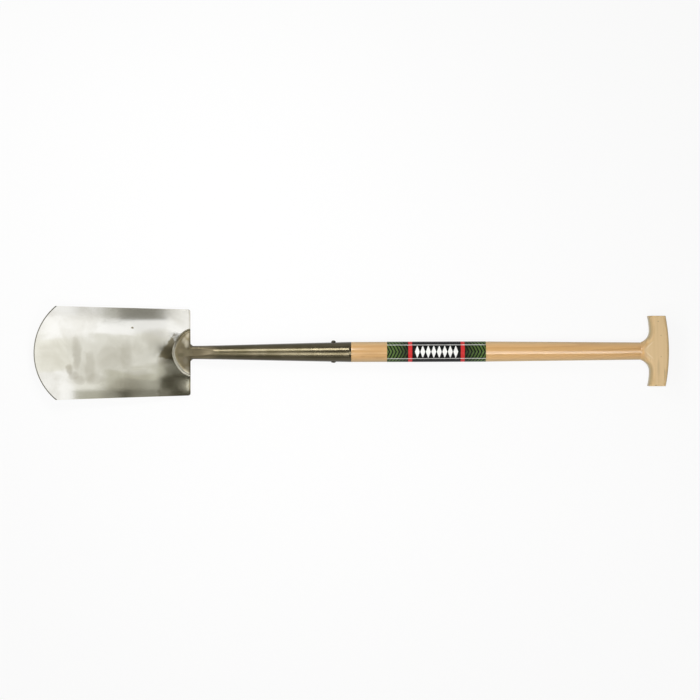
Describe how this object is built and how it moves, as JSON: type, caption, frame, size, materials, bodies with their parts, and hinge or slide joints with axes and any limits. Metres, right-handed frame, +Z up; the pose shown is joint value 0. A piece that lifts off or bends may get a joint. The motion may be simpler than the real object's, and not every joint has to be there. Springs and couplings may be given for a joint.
{
  "type": "spade",
  "caption": "Digging spade: dished steel blade with a rounded cutting edge, riveted tapered socket, turned wooden shaft with a label and a wooden T-grip.",
  "frame": {"origin": "on the ground under the middle of the overall length and width, with the spade lying on its back", "axes": "+X from the blade's tip to the grip, along the shaft; +Z up, out of the blade's front face; +Y across the blade"},
  "size_m": [1.1348, 0.168, 0.0368],
  "materials": {
    "blade_steel": "polished and clear lacquered",
    "socket_steel": "dark, smooth and clear lacquered",
    "weld_steel": "as welded, lacquered",
    "rivet_steel": "dark, hammered",
    "shaft_wood": "gloss lacquered ash",
    "grip_wood": "satin lacquered ash",
    "wedge_wood": "plain hardwood",
    "label_film": "gloss printed film"
  },
  "bodies": {
    "root": {"blade": "blade_steel", "socket": "socket_steel", "socket_weld": "weld_steel", "socket_rivet": "rivet_steel", "shaft": "shaft_wood", "grip": "grip_wood", "grip_wedge": "wedge_wood", "label_wrap": "label_film"}
  },
  "joints": []
}
